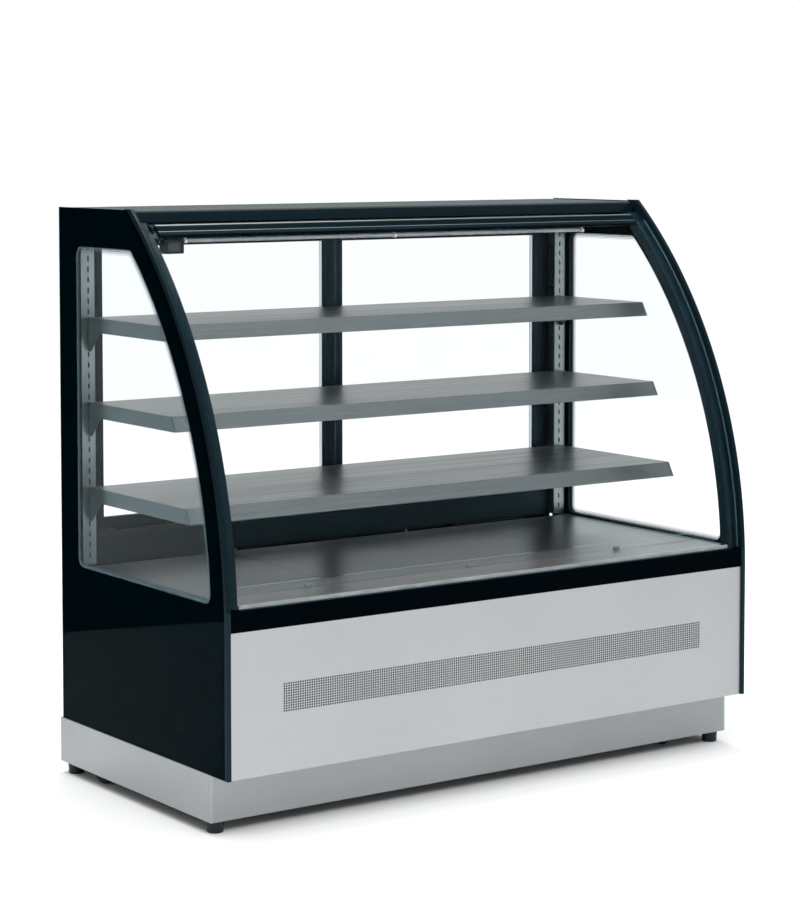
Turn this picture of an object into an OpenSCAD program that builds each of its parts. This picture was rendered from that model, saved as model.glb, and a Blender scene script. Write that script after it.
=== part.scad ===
// Curved-glass refrigerated display showcase.
// Frame: X across the width, -Y towards the customer, Z up, origin on the floor under the
// middle of the case. All sizes are in millimetres.

/* [Overall size] */
// Width over the two side cheeks
width = 1500; // [1400:10:1600]
// Depth from the front edge of the cheeks to the back
depth = 760; // [740:10:800]
// Height from the floor to the top of the cheeks
height = 1350; // [1340:5:1360]

/* [Curved front] */
// Radius of the curved front edge of the cheeks
arc_r = 1195; // [1180:5:1250]
// Height at which the straight front edge turns into the curve
arc_z = 450; // [440:1:460]
// Thickness of the curved front glass
front_glass_t = 6; // [5:0.5:7]

/* [Base] */
// Height of the plinth's lower edge above the floor
floor_gap = 28; // [26:1:29]
// Height of the plinth's upper edge above the floor
plinth_top = 133; // [130:1:136]
// Setback of the plinth behind the front edge of the cheeks
plinth_setback = 71; // [65:1:75]
// Height of the top of the stainless front panel
panel_top = 452; // [446:1:456]
// Height of the top of the black rail above the front panel
rail_top = 498; // [492:1:500]

/* [Display chamber] */
// Height of the display deck
deck_z = 503; // [502:1:506]
// Height of the sill below the rear doors
sill_z = 567; // [555:1:575]
// Underside of the header above the rear doors
header_z = 1290; // [1280:1:1295]
// Height of the lowest shelf
shelf_z = 690; // [690:25:715]
// Spacing of the shelves
shelf_step = 200; // [175:25:200]

/* [Front vent] */
// Number of vent rows in the front panel
vent_rows = 12; // [6:1:12]
// Length of the vent field
vent_w = 1210; // [900:10:1250]

/* [Hidden] */

sheet = 1.5;                       // sheet-metal thickness
x_out = width / 2;                 // outer face of a cheek
y_front = -depth / 2;              // front edge of the cheeks
y_rear = depth / 2;                // back of the case
arc_y = y_front + arc_r;           // centre of the front curve
arc_fn = 360;

// Cheek build-up, measured inwards from the outer face
pane_t = 5;
mask_t = 1;
cavity_t = 10;
inner_pane_t = 4;
mask2_x = x_out - pane_t - mask_t - cavity_t;      // cavity face of the inner mask
x_in = mask2_x - mask_t - inner_pane_t;            // inner face of a cheek
edge_inset = 12;                   // panes stop this far behind the edge trim
inner_inset = 48;                  // inner panes stop this far behind the edge trim
trim_w = 10.3;                     // width of the curved edge trim
carrier_w = 40;                    // reach of the carrier behind the front glass
glass_q = 14;                      // front glass lies this far behind the trim's face
carrier_q = [glass_q + front_glass_t + 2, 46];
inner_top = 1316;
clear_margin = 5;                  // unprinted glass along the rear edge

// Window in the cheek
window_inset = 72;
window_top = 1258;
window_rear = 291;
window_z = [505, 507];             // lower edge at the front and at the rear
window_r = 22;

// Front plane
panel_y = y_front + 5.7;
panel_x = x_out - trim_w - 0.2;

// Canopy
fascia_y = 43;
fascia_z = [1319, 1341];
lamp_x = 700;
lamp_end = 584;

// Front glass and its hinge
glass_x = x_out - trim_w - 1.2;
glass_mid_r = arc_r - glass_q - front_glass_t / 2;
glass_a = [asin((rail_top + 2 - arc_z) / glass_mid_r), asin((1298 - arc_z) / glass_mid_r)];
hinge_x = 699;
hinge_t = 14;                      // pin ahead of the glass edge, along the curve
hinge_n = -8;                      // pin inside the glass, across the curve
pin_r = 3;
run_gap = 0.05;                    // radial running clearance of pins and axles
hinge_y = arc_y - glass_mid_r * cos(glass_a[1]) + hinge_t * sin(glass_a[1])
        - hinge_n * cos(glass_a[1]);
hinge_z = arc_z + glass_mid_r * sin(glass_a[1]) + hinge_t * cos(glass_a[1])
        + hinge_n * sin(glass_a[1]);

// Rear frame and sliding doors
frame_x = [690, x_in - 0.5];
frame_y = [326, y_rear - 2];
frame_top = fascia_z[1];
door_t = 14;
door_y = [343, 360];               // centre planes of the inner and outer track
door_z = [sill_z + 9, header_z - 9];
door_x = [43, frame_x[0] - 1];     // meeting edge and outer edge of a door
door_lap = -30;
stile_w = 47;
meeting_w = 40;
door_rail_w = 30;
door_glass_t = 5;

// Shelves
shelf_x = 705;
shelf_rear = 300;
shelf_front = [-139, -77, -34];    // front edge of the bottom, middle and top tray
shelf_lip = 34;
shelf_slant = 19;
bracket_x = [706.3, 708.3];
upright_x = [691, 726];
upright_y = [302, frame_y[0]];
slot_pitch = 25;
slot_h = 12;
slot_x = (bracket_x[0] + bracket_x[1]) / 2;

// Refrigerated tub
tub_y = [-318, 300];
tub_z = 412;
tub_x = 708;
tub_rim = deck_z - 6;

// Plinth and running gear
plinth_y = y_front + plinth_setback;
tube_z = [66, 106];
tube_w = 30;
foot_inset = 27;
foot_r = 19.5;
castor_drop = 2;                   // clearance of the castors above the floor
wheel_r = 25;
wheel_w = 18;
castor_trail = 26;
axle_r = 3;
kingpin_r = 5;

// Castors: pivot position and the heading of the wheel
castors = [
  [[-622, -240], 20],
  [[622, -240], 200],
  [[-696, 203], 145],
  [[694, 245], 60]
];

// Machine compartment
condenser_x = [60, 480];
condenser_y = [-292, -236];
condenser_z = [tube_z[1] + sheet, 352];
fan_x = 270;
fan_z = 232;
fan_r = 98;
evap_fan_x = 330;
evap_fan_z = 455;
evap_fan_r = 35;
evap_fan_y = -28;
switch_x = [440, 560];
switch_z = 473;
rocker_y = 368;
rocker_pin_r = 1.5;

// ---------------------------------------------------------------- helpers

module block(x, y, z) {
  translate([x[0], y[0], z[0]]) cube([x[1] - x[0], y[1] - y[0], z[1] - z[0]]);
}

// A (Y, Z) outline extruded along X from x0
module along_x(x0, t) {
  translate([x0, 0, 0]) rotate([90, 0, 90]) linear_extrude(t) children();
}

// An (X, Z) outline extruded along Y from y0
module along_y(y0, t) {
  translate([0, y0 + t, 0]) rotate([90, 0, 0]) linear_extrude(t) children();
}

module both_sides() {
  children();
  mirror([1, 0, 0]) children();
}

module rect(a, b) {
  translate([a[0], b[0]]) square([a[1] - a[0], b[1] - b[0]]);
}

// A (radius, X) outline swept about the front curve between two angles
module along_arc(a0, a1) {
  translate([0, arc_y, arc_z]) rotate([-a0, 0, 0]) rotate([90, 0, -90])
    rotate_extrude(angle = a1 - a0, $fn = arc_fn) children();
}

// Side outline (Y, Z) of a cheek, q behind its front edge
module cheek_outline(q, z, y1) {
  intersection() {
    rect([y_front + q, y1], z);
    union() {
      translate([arc_y, arc_z]) circle(r = arc_r - q, $fn = arc_fn);
      rect([y_front + q, y1], [z[0], arc_z]);
    }
  }
}

function unit(v) = v / norm(v);

// Points that round corner b between a and c
function round_corner(a, b, c, r, n = 6) =
  r <= 0 ? [b] :
  let (u = unit(a - b), w = unit(c - b), half = acos(u * w) / 2,
       o = b + unit(u + w) * r / sin(half),
       s = b + u * r / tan(half) - o, e = b + w * r / tan(half) - o,
       a0 = atan2(s[1], s[0]), turn = atan2(s[0] * e[1] - s[1] * e[0], s * e))
  [for (i = [0:n]) o + r * [cos(a0 + turn * i / n), sin(a0 + turn * i / n)]];

// Outline with the listed corners [x, y, r] rounded
function rounded(p) = let (n = len(p))
  [for (i = [0:n - 1]) each round_corner(
    [p[(i + n - 1) % n][0], p[(i + n - 1) % n][1]], [p[i][0], p[i][1]],
    [p[(i + 1) % n][0], p[(i + 1) % n][1]], p[i][2])];

// Side window outline, grown outwards by g
module window_outline(g) {
  r = arc_r - window_inset + g;
  z0 = window_z[0] - g;
  z1 = window_top + g;
  a0 = asin((z0 - arc_z) / r);
  a1 = asin((z1 - arc_z) / r);
  steps = 16;
  polygon(rounded(concat(
    [for (i = [0:steps]) let (a = a0 + (a1 - a0) * i / steps)
      [arc_y - r * cos(a), arc_z + r * sin(a), i == 0 || i == steps ? window_r : 0]],
    [[window_rear + g, z1, window_r], [window_rear + g, window_z[1] - g, window_r]])));
}

// Hollow rectangular section, wall w
module tube_section(a, b, w = 2) {
  difference() {
    rect(a, b);
    rect([a[0] + w, a[1] - w], [b[0] + w, b[1] - w]);
  }
}

// ---------------------------------------------------------------- base

module chassis_frame() color("dimgray") {
  rail_y = [[-300, -270], [346, 376]];
  cross_x = [-730, -622, 0, 622, 730];
  for (y = rail_y) along_x(-745, 1490) tube_section(y, tube_z);
  for (x = cross_x)
    along_y(rail_y[0][1], rail_y[1][0] - rail_y[0][1])
      tube_section([x - tube_w / 2, x + tube_w / 2], tube_z);
  for (y = [[-296, -266], [344, 374]], x = [-705, 705])
    difference() {
      block([x - 15, x + 15], y, [tube_z[1] + sheet, 371]);
      block([x - 13, x + 13], [y[0] + 2, y[1] - 2], [tube_z[1], 372]);
    }
}

module base_pan() color("silver")
  block([-744, 744], [-299, 375], [tube_z[1], tube_z[1] + sheet]);

module plinth_front() color("silver") along_x(-744.5, 1489) {
  rect([plinth_y, plinth_y + sheet], [floor_gap, plinth_top]);
  rect([plinth_y, plinth_y + 7], [floor_gap, floor_gap + sheet]);
  rect([plinth_y, plinth_y + 12], [plinth_top - sheet, plinth_top]);
}

module plinth_sides() color("silver") {
  both_sides() {
    block([x_out - sheet, x_out], [plinth_y, y_rear], [floor_gap, plinth_top]);
    block([x_out - 5.2, x_out - sheet], [plinth_y, plinth_y + sheet], [floor_gap, plinth_top]);
    block([x_out - 12, x_out - sheet], [plinth_y + 14, y_rear - 3],
          [plinth_top - sheet, plinth_top]);
  }
  block([-x_out + 1.6, x_out - 1.6], [y_rear - sheet, y_rear], [floor_gap, plinth_top]);
}

module levelling_feet() color([0.08, 0.1, 0.12])
  for (x = [-1, 1], y = [plinth_y + foot_inset, y_rear - foot_inset])
    translate([x * (x_out - foot_inset), y, 0]) {
      rotate_extrude($fn = 48)
        polygon([[0, 0], [foot_r - 3.5, 0], [foot_r - 1, 2.5], [foot_r - 1, 15], [foot_r, 16],
                 [foot_r, 30], [foot_r - 4, 33], [0, 33]]);
      translate([0, 0, 33]) cylinder(r = 5, h = tube_z[0] - 33, $fn = 24);
    }

module castor_plate() {
  difference() {
    translate([0, 0, 64]) cube([80, 80, 4], center = true);
    for (x = [-32, 32], y = [-32, 32]) translate([x, y, 60]) cylinder(r = 4.2, h = 8, $fn = 24);
  }
  translate([0, 0, 58]) cylinder(r = 22, h = 4, $fn = 48);
  translate([0, 0, 52]) cylinder(r = kingpin_r, h = 6, $fn = 32);
  translate([0, 0, 50.2]) cylinder(r = 8, h = 3.5, $fn = 32);
}

module castor_plates() color("silver")
  for (c = castors) translate([c[0][0], c[0][1], 0]) castor_plate();

module castor_fork(i) color("silver")
  translate([castors[i][0][0], castors[i][0][1], 0]) rotate([0, 0, castors[i][1]]) {
    axle_z = castor_drop + wheel_r;
    difference() {
      union() {
        translate([0, 0, 54]) cylinder(r = 20, h = 3.7, $fn = 48);
        for (y = [-12.6, 10.6]) along_y(y, 2) {
          polygon([[-12, 54.5], [16, 54.5], [34, 31], [34, axle_z], [18, axle_z]]);
          translate([castor_trail, axle_z]) circle(r = 8, $fn = 32);
        }
        translate([castor_trail, -13.6, axle_z]) rotate([-90, 0, 0])
          cylinder(r = axle_r, h = 27.2, $fn = 32);
      }
      translate([0, 0, 53]) cylinder(r = kingpin_r + run_gap, h = 6, $fn = 32);
    }
  }

module castor_wheel(i) color([0.07, 0.08, 0.09])
  translate([castors[i][0][0], castors[i][0][1], 0]) rotate([0, 0, castors[i][1]])
    translate([castor_trail, 0, castor_drop + wheel_r]) rotate([90, 0, 0])
      rotate_extrude($fn = 64)
        polygon([[axle_r + run_gap, -wheel_w / 2], [wheel_r - 4, -wheel_w / 2],
                 [wheel_r - 1, -wheel_w / 2 + 2], [wheel_r, -wheel_w / 2 + 5],
                 [wheel_r, wheel_w / 2 - 5], [wheel_r - 1, wheel_w / 2 - 2],
                 [wheel_r - 4, wheel_w / 2], [axle_r + run_gap, wheel_w / 2]]);

module front_panel() color("silver") difference() {
  pitch = 65 / vent_rows;
  slot_w = vent_w / 22;
  union() {
    along_x(-panel_x, 2 * panel_x) {
      rect([panel_y, panel_y + sheet], [plinth_top, panel_top]);
      rect([panel_y, plinth_y - 0.2], [plinth_top, plinth_top + sheet]);
      rect([panel_y, panel_y + 20], [panel_top - sheet, panel_top]);
    }
  }
  for (row = [0:vent_rows - 1], n = [0:21])
    translate([-vent_w / 2 + n * slot_w + 2, panel_y - 1, 265 + row * pitch])
      cube([slot_w - 4, sheet + 2, 2.7]);
}

module front_rail() color([0.02, 0.05, 0.07])
  along_x(-panel_x, 2 * panel_x)
    tube_section([panel_y, panel_y + 29], [panel_top, rail_top], 2.5);

module glass_gutter() color("gainsboro") along_x(-709.5, 1419) {
  rect([panel_y + 1.5, -342], [rail_top, rail_top + sheet]);
  rect([-357.2, -355.7], [rail_top, rail_top + 9]);
}

module rear_panel() color([0.1, 0.11, 0.12]) difference() {
  along_y(y_rear - sheet, sheet) rect([-738, 738], [plinth_top + 1, deck_z - 1]);
  for (x = [-520, 0, 520], row = [0:9])
    translate([x - 190, y_rear - 3, 180 + row * 18]) cube([380, 6, 6]);
  block([380, 620], [y_rear - 3, y_rear + 1], [446, deck_z - 3]);
}

// ---------------------------------------------------------------- refrigerated tub and deck

// Five foam boards round the tub, with hairline seams between them
module tub_insulation() color("khaki") {
  walls = [tub_z, tub_rim - sheet - 0.2];
  block([-x_in + 2, x_in - 2], [-343, 324], [372, tub_z - 0.2]);
  both_sides() block([tub_x, x_in - 2], [-343, 324], walls);
  for (y = [[-343, tub_y[0]], [tub_y[1], 324]])
    block([-tub_x + 0.2, tub_x - 0.2], y, walls);
}

// Steel tub whose rim folds out over the foam
module tub_liner() color("lightgray") difference() {
  union() {
    block([-tub_x + 0.2, tub_x - 0.2], [tub_y[0] + 0.2, tub_y[1] - 0.2], [tub_z, tub_rim]);
    block([-x_in + 2.2, x_in - 2.2], [-342.8, 323.8], [tub_rim - sheet, tub_rim]);
  }
  block([-tub_x + 0.2 + sheet, tub_x - 0.2 - sheet],
        [tub_y[0] + 0.2 + sheet, tub_y[1] - 0.2 - sheet], [tub_z + sheet, tub_rim + 1]);
}

module deck_panels() color("silver") {
  count = 4;
  pitch = 2 * (tub_x - 1) / count;
  for (i = [0:count - 1]) difference() {
    x0 = -tub_x + 1 + i * pitch;
    block([x0 + 0.5, x0 + pitch - 0.5], [-230, 286], [tub_rim, deck_z]);
    block([x0 + 2, x0 + pitch - 2], [-228.5, 284.5], [tub_rim - 1, deck_z - sheet]);
  }
}

module return_grille() color("silver") difference() {
  block([-tub_x + 1, tub_x - 1], [-341, -232], [tub_rim, deck_z]);
  block([-tub_x + 2.5, tub_x - 2.5], [-339.5, -233.5], [tub_rim - 1, deck_z - sheet]);
  for (i = [-17:17], j = [0:5])
    translate([i * 39 - 16, -327 + j * 14, deck_z - 3]) cube([32, 6, 6]);
}

module deck_riser() color([0.8, 0.9, 0.92, 0.5])
  block([-704, 704], [-239, -235], [deck_z, deck_z + 18.5]);

module evaporator_coil() color("silver") {
  for (i = [0:64]) block([-650 + i * 20, -647 + i * 20], [60, 170], [tub_z + sheet, 490]);
  for (y = [80, 105, 130, 155], z = [435, 470])
    translate([-660, y, z]) rotate([0, 90, 0]) difference() {
      cylinder(r = 5, h = 1320, $fn = 24);
      translate([0, 0, -1]) cylinder(r = 4, h = 1322, $fn = 24);
    }
}

module evaporator_fan_plate() color("silver") {
  difference() {
    block([-tub_x + 2, tub_x - 2], [evap_fan_y - 12, evap_fan_y - 12 + sheet],
          [tub_z + sheet, tub_rim - 0.5]);
    for (x = [-evap_fan_x, evap_fan_x])
      translate([x, evap_fan_y - 20, evap_fan_z]) rotate([-90, 0, 0])
        cylinder(r = evap_fan_r + 3, h = 20, $fn = 64);
  }
  for (x = [-evap_fan_x, evap_fan_x]) translate([x, 0, evap_fan_z]) {
    block([-13, 13], [evap_fan_y + 14, evap_fan_y + 50], [tub_z + sheet - evap_fan_z, -14]);
    translate([0, evap_fan_y + 10, 0]) rotate([-90, 0, 0]) cylinder(r = 18, h = 44, $fn = 48);
    translate([0, evap_fan_y - 16, 0]) rotate([-90, 0, 0]) cylinder(r = 2.5, h = 27, $fn = 24);
  }
}

// Axial impeller on the Y axis: hub from y0, blades pitched about their own radius
module impeller(r, hub_r, bore_r, y0, hub_h, blades, chord) {
  rotate([-90, 0, 0]) translate([0, 0, y0]) difference() {
    union() {
      cylinder(r = hub_r, h = hub_h, $fn = 48);
      intersection() {
        for (i = [0:blades - 1]) rotate([0, 0, i * 360 / blades])
          translate([r / 2, 0, hub_h / 2]) rotate([30, 0, 0])
            cube([r, chord, 1.6], center = true);
        cylinder(r = r, h = hub_h, $fn = 96);
      }
    }
    translate([0, 0, -1]) cylinder(r = bore_r + run_gap, h = hub_h + 2, $fn = 32);
  }
}

module evaporator_fan(x) color("dimgray")
  translate([x, evap_fan_y, evap_fan_z]) impeller(evap_fan_r, 12, 2.5, -10, 16, 5, 22);

// ---------------------------------------------------------------- machine compartment

module compressor() color([0.12, 0.12, 0.13]) translate([-420, 90, tube_z[1] + sheet]) {
  shell_r = 78;
  for (x = [-80, 80], y = [-60, 60]) translate([x, y, 0]) cylinder(r = 13, h = 20, $fn = 32);
  translate([-100, -78, 20]) cube([200, 156, 3]);
  translate([0, 0, 23]) rotate_extrude($fn = 96)
    polygon(concat([[0, 0]], [for (a = [0:10:90]) [shell_r - 30 + 30 * sin(a), 30 - 30 * cos(a)]],
      [[shell_r, 88], [shell_r + 4, 90], [shell_r + 4, 95], [shell_r, 97]],
      [for (a = [0:10:90]) [shell_r * cos(a) , 110 + 62 * sin(a)]]));
  translate([shell_r - 8, -30, 60]) cube([40, 60, 70]);
}

module condenser_coil() color("silver") {
  for (x = [condenser_x[0] : 14 : condenser_x[1] - 3])
    block([x, x + 3], condenser_y, condenser_z);
  for (y = [-280, -264, -248], z = [130 : 30 : 340])
    translate([condenser_x[0] - 12, y, z]) rotate([0, 90, 0])
      cylinder(r = 4.5, h = condenser_x[1] - condenser_x[0] + 24, $fn = 24);
}

module condenser_shroud() color([0.15, 0.16, 0.17]) difference() {
  block([condenser_x[0] - 2, condenser_x[1] + 2], [condenser_y[1] + 1, -200], condenser_z);
  block([condenser_x[0], condenser_x[1]], [condenser_y[1], -201.5],
        [condenser_z[0] - 1, condenser_z[1] - sheet]);
  translate([fan_x, -210, fan_z]) rotate([-90, 0, 0]) cylinder(r = fan_r + 4, h = 20, $fn = 96);
}

module condenser_fan_motor() color("dimgray") translate([fan_x, 0, fan_z]) {
  translate([0, -165, 0]) rotate([-90, 0, 0]) cylinder(r = 42, h = 60, $fn = 64);
  translate([0, -205, 0]) rotate([-90, 0, 0]) cylinder(r = 4, h = 41, $fn = 24);
  block([-22, 22], [-155, -115], [condenser_z[0] - fan_z, -38]);
}

module condenser_fan() color([0.1, 0.1, 0.11])
  translate([fan_x, 0, fan_z]) impeller(fan_r, 26, 4, -198, 26, 5, 42);

module control_box() color([0.12, 0.13, 0.14]) difference() {
  union() {
    block([381, 619], [327, y_rear - sheet - 0.2], [447, deck_z - 4]);
    block([381, 619], [y_rear - sheet - 0.2, y_rear], [447, deck_z - 4]);
  }
  for (x = switch_x) difference() {
    block([x - 12.5, x + 12.5], [354, y_rear + 1], [switch_z - 17, switch_z + 17]);
    translate([x - 13, rocker_y, switch_z]) rotate([0, 90, 0])
      cylinder(r = rocker_pin_r, h = 26, $fn = 24);
  }
  translate([400, 360, switch_z]) rotate([-90, 0, 0]) cylinder(r = 8, h = 30, $fn = 32);
}

// Rocker paddle, tipped at rest with its lower half pressed
module rocker(x) color("black") translate([x, rocker_y, switch_z]) rotate([8, 0, 0])
  along_x(-12, 24) difference() {
    polygon([[-9, -14], [3, -15], [9, -14.5], [7.5, 0], [9, 14.5], [3, 15], [-9, 14]]);
    circle(r = rocker_pin_r + run_gap, $fn = 24);
  }

// ---------------------------------------------------------------- cheeks

module side_pane() color([0.75, 0.88, 0.9, 0.4])
  along_x(x_out - pane_t, pane_t) cheek_outline(edge_inset, [plinth_top, height], y_rear);

module side_masks() color([0.01, 0.04, 0.06]) both_sides() {
  along_x(x_out - pane_t - mask_t, mask_t) difference() {
    cheek_outline(edge_inset, [plinth_top, height - 2], y_rear - clear_margin);
    window_outline(0);
  }
  along_x(mask2_x - mask_t, mask_t) difference() {
    cheek_outline(inner_inset, [470, inner_top], frame_y[0]);
    window_outline(0);
  }
}

module side_inner_panes() color([0.75, 0.88, 0.9, 0.4]) both_sides()
  along_x(x_in, inner_pane_t) cheek_outline(inner_inset, [470, inner_top], frame_y[0]);

module side_spacers() color("silver") both_sides()
  along_x(mask2_x, cavity_t) difference() {
    window_outline(11);
    window_outline(1.5);
  }

module side_profiles() color([0.03, 0.07, 0.09]) both_sides() {
  a_low = asin((rail_top - arc_z) / arc_r);
  // curved trim and the carrier that the front glass closes against
  intersection() {
    along_arc(a_low, 52)
      difference() {
        union() {
          rect([arc_r - carrier_q[0] - 2, arc_r], [-x_out, -x_out + trim_w]);
          rect([arc_r - carrier_q[1], arc_r - carrier_q[0]], [-x_out + 6.5, -x_out + carrier_w]);
        }
        rect([arc_r - carrier_q[1] - 1, arc_r - edge_inset + 0.1], [-x_out - 1, -x_out + 6.5]);
        rect([arc_r - carrier_q[1] + 2.5, arc_r - carrier_q[0] - 2.5],
             [-x_out + 9, -x_out + carrier_w - 2.5]);
      }
    block([x_out - carrier_w - 1, x_out + 1], [y_front - 1, 110], [rail_top, fascia_z[0] - 0.5]);
  }
  // trim alone, beside the canopy
  intersection() {
    along_arc(40, 52) rect([arc_r - edge_inset + 0.1, arc_r], [-x_out, -x_out + trim_w]);
    block([x_out - trim_w - 1, x_out + 1], [-60, 110], [fascia_z[0] - 0.5, height]);
  }
  // straight edge strip below the curve
  block([x_out - trim_w + 0.3, x_out], [y_front, y_front + edge_inset - 0.2],
        [plinth_top, arc_z]);
  intersection() {
    along_arc(0, a_low) rect([arc_r - edge_inset + 0.2, arc_r], [-x_out, -x_out + trim_w - 0.3]);
    block([x_out - 20, x_out + 1], [y_front - 1, 0], [arc_z, rail_top]);
  }
}

// ---------------------------------------------------------------- rear frame and doors

module rear_frame() color([0.05, 0.08, 0.1]) along_y(frame_y[0], frame_y[1] - frame_y[0])
  difference() {
    rect([-frame_x[1], frame_x[1]], [deck_z, frame_top]);
    rect([-frame_x[0], frame_x[0]], [sill_z, header_z]);
  }

module door_track_section(up) {
  groove = 7.4;
  mirror([0, up ? 0 : 1]) difference() {
    rect([332, 371], [0, 8]);
    for (y = door_y) rect([y - groove / 2, y + groove / 2], [2, 9]);
  }
}

module door_tracks() color([0.1, 0.11, 0.12]) {
  along_x(-frame_x[0] + 0.2, 2 * frame_x[0] - 0.4) translate([0, sill_z]) door_track_section(true);
  along_x(-frame_x[0] + 0.2, 2 * frame_x[0] - 0.4) translate([0, header_z])
    door_track_section(false);
}

// Door frame between two stiles, on one track; x are its edges, w its stile widths
module door_frame(x, w, y) color([0.06, 0.09, 0.11]) {
  along_y(y - door_t / 2, door_t) difference() {
    rect(x, door_z);
    rect([x[0] + w[0], x[1] - w[1]], [door_z[0] + door_rail_w, door_z[1] - door_rail_w]);
  }
  for (z = [door_z[0] - 6, door_z[1]], n = [x[0] + 20, x[1] - 80])
    block([n, n + 60], [y - 3.2, y + 3.2], [z, z + 6]);
}

module door_pane(x, w, y) color([0.75, 0.88, 0.9, 0.4])
  block([x[0] + w[0], x[1] - w[1]], [y - door_glass_t / 2, y + door_glass_t / 2],
        [door_z[0] + door_rail_w, door_z[1] - door_rail_w]);

module door_right_frame() door_frame([door_lap, door_x[1]], [meeting_w, stile_w], door_y[0]);
module door_right_glass() door_pane([door_lap, door_x[1]], [meeting_w, stile_w], door_y[0]);
module door_left_frame() door_frame([-door_x[1], door_x[0]], [stile_w, meeting_w], door_y[1]);
module door_left_glass() door_pane([-door_x[1], door_x[0]], [stile_w, meeting_w], door_y[1]);

// ---------------------------------------------------------------- shelves

module shelf_uprights() color("silver") both_sides() difference() {
  block(upright_x, upright_y, [deck_z + 2, header_z + 6]);
  block([upright_x[0] + 2, upright_x[1] - 2], [upright_y[0] + 2, upright_y[1] + 1],
        [deck_z, header_z + 8]);
  for (z = [shelf_z - 6 * slot_pitch : slot_pitch : header_z - 10])
    block([slot_x - 2, slot_x + 2], [upright_y[0] - 1, upright_y[0] + 3],
          [z - slot_h / 2 - 12, z + slot_h / 2 - 12]);
}

// Folded tray at height z with its front edge at y
module shelf_tray(y, z) color("gray") {
  along_x(-shelf_x, 2 * shelf_x) {
    rect([y, shelf_rear], [z - sheet, z]);
    rect([shelf_rear - sheet, shelf_rear], [z - 20, z]);
    polygon([[y, z], [y + sheet, z - sheet], [y - shelf_slant + sheet, z - shelf_lip],
             [y - shelf_slant, z - shelf_lip]]);
    rect([y - shelf_slant, y - shelf_slant + 12], [z - shelf_lip, z - shelf_lip + sheet]);
  }
  both_sides() along_x(shelf_x - sheet, sheet)
    polygon([[y, z], [shelf_rear, z], [shelf_rear, z - shelf_lip + 4],
             [y - shelf_slant + 2, z - shelf_lip + 4]]);
}

module shelf_bottom() shelf_tray(shelf_front[0], shelf_z);
module shelf_middle() shelf_tray(shelf_front[1], shelf_z + shelf_step);
module shelf_top() shelf_tray(shelf_front[2], shelf_z + 2 * shelf_step);

module shelf_brackets() color("lightslategray") both_sides()
  for (i = [0:2]) {
    z = shelf_z + i * shelf_step;
    y = shelf_front[i];
    along_x(bracket_x[0], bracket_x[1] - bracket_x[0]) {
      polygon([[y, z], [301.6, z], [301.6, z - 79], [290, z - 79], [245, z - shelf_lip],
               [y - shelf_slant, z - shelf_lip]]);
      for (n = [12, 12 + 2 * slot_pitch])
        rect([301, 306], [z - n - 4, z - n + 4]);
    }
    along_x(shelf_x + 0.1, bracket_x[0] - shelf_x - 0.1)
      rect([y + 30, 280], [z - 26, z - 18]);
  }

// ---------------------------------------------------------------- canopy

module top_panel() color([0.28, 0.32, 0.32])
  block([-x_in + 0.5, x_in - 0.5], [fascia_y + 0.5, frame_y[1]], [fascia_z[1], fascia_z[1] + 5]);

module canopy_rail() color([0.04, 0.09, 0.12])
  along_x(-panel_x, 2 * panel_x) tube_section([fascia_y, fascia_y + 70], fascia_z, 2.5);

module lamp_housing() color("gainsboro") along_x(-lamp_x, 2 * lamp_x) difference() {
  polygon([[46, fascia_z[0]], [54, 1283], [112, 1283], [112, fascia_z[0]]]);
  polygon([[48, fascia_z[0] - 2], [55.5, 1285], [110, 1285], [110, fascia_z[0] - 2]]);
}

module led_tube() color("white") {
  translate([-lamp_end, 64, 1275]) rotate([0, 90, 0]) cylinder(r = 5, h = 2 * lamp_end, $fn = 32);
  for (x = [-lamp_end - 6, -3, lamp_end]) block([x, x + 6], [58, 70], [1269, 1283]);
}

module display_unit() color([0.1, 0.13, 0.15]) {
  difference() {
    along_y(62, 24) polygon(rounded([[-642, 1245, 4], [-591, 1245, 4], [-591, 1277, 4],
                                     [-642, 1277, 4]]));
    block([-632, -601], [61, 63.5], [1251.5, 1270.5]);
  }
  block([-632, -601], [70, 84], [1277, 1283]);
}

module hinge_brackets() color([0.1, 0.12, 0.14]) both_sides() {
  along_x(701.5, 7.5) {
    translate([hinge_y, hinge_z]) circle(r = 9, $fn = 48);
    polygon([[hinge_y, hinge_z - 9], [hinge_y, hinge_z + 9], [45, fascia_z[0]],
             [100, fascia_z[0]], [100, 1306], [60, hinge_z - 9]]);
  }
  translate([640, hinge_y, hinge_z]) rotate([0, 90, 0]) cylinder(r = pin_r, h = 62, $fn = 32);
}

// ---------------------------------------------------------------- front glass

module front_glass() color([0.75, 0.88, 0.9, 0.35]) along_arc(glass_a[0], glass_a[1])
  rect([arc_r - glass_q - front_glass_t, arc_r - glass_q], [-glass_x, glass_x]);

module glass_hinge() color([0.1, 0.13, 0.15]) difference() {
  along_x(-hinge_x, 2 * hinge_x)
    translate([arc_y - glass_mid_r * cos(glass_a[1]), arc_z + glass_mid_r * sin(glass_a[1])])
      rotate(90 - glass_a[1]) difference() {
        union() {
          rect([-14, 19], [-6, 6]);
          translate([hinge_t, hinge_n]) circle(r = 7, $fn = 48);
        }
        rect([-15, 0.1], [-front_glass_t / 2 - 0.15, front_glass_t / 2 + 0.15]);
        for (t = [-10 : 5 : 10]) rect([t, t + 1.4], [5.2, 7]);
      }
  for (x = [-hinge_x - 1, hinge_x - 64])
    translate([x, hinge_y, hinge_z]) rotate([0, 90, 0])
      cylinder(r = pin_r + run_gap, h = 65, $fn = 32);
}

// ---------------------------------------------------------------- output

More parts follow.
